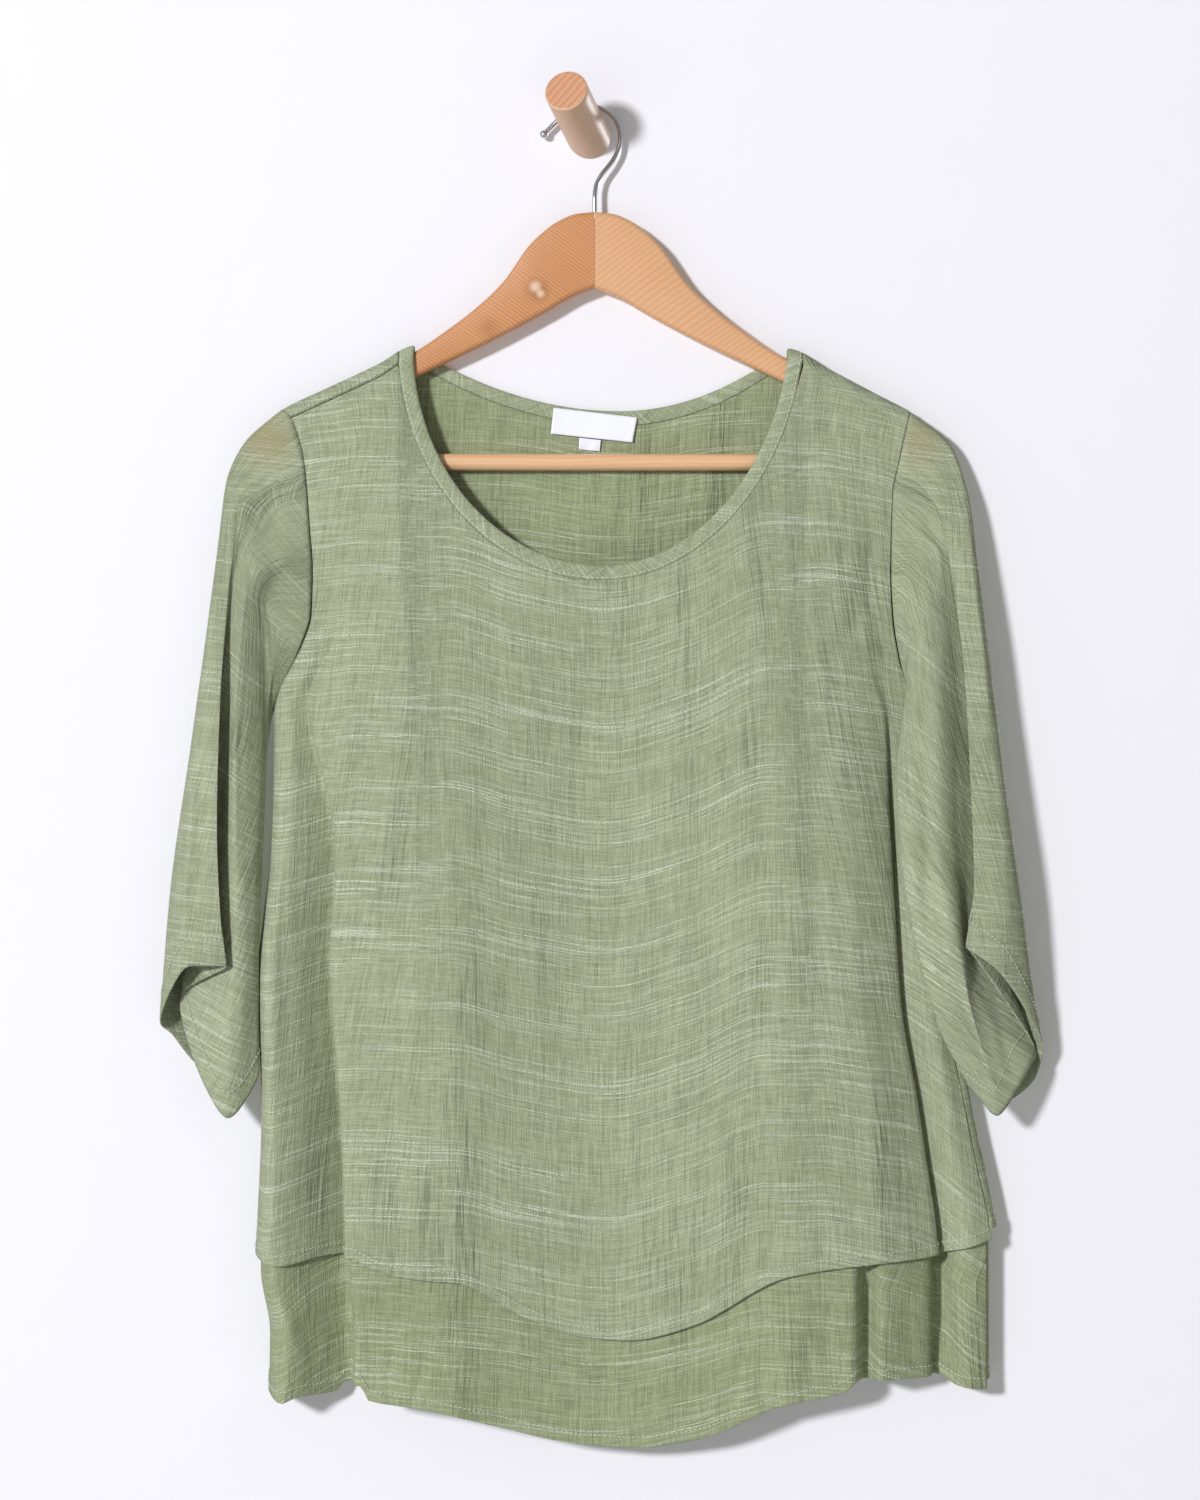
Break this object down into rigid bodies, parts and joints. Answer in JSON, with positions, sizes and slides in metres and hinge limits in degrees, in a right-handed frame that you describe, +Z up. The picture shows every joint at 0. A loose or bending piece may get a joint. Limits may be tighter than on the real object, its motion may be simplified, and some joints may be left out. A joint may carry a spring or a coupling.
{
  "type": "layered top",
  "caption": "Sage green slub-weave top of two layers with dipped hems, a scooped bound neck and three-quarter sleeves, on a wooden hanger that hangs from a round wall peg.",
  "frame": {"origin": "middle of the wall peg's back face, where the wall holds it", "axes": "+Z up, +X toward the picture's right, -Y out from the wall toward the viewer"},
  "size_m": [0.572, 0.0601, 0.8834],
  "materials": {
    "cloth": "matt slub weave, light crease",
    "under_cloth": "matt slub weave, in shade",
    "label": "smooth woven tape, bare",
    "hanger_wood": "clear satin varnish",
    "wire": "polished",
    "peg_wood": "bare, sanded"
  },
  "bodies": {
    "root": {"outer_front": "cloth", "outer_back": "cloth", "inner_front": "under_cloth", "inner_back": "under_cloth", "sleeve_left": "cloth", "sleeve_right": "cloth", "neck_binding": "cloth", "label": "label", "size_tab": "label", "hanger_left": "hanger_wood", "hanger_right": "hanger_wood", "trouser_bar": "hanger_wood", "hook": "wire", "wall_peg": "peg_wood"}
  },
  "joints": []
}
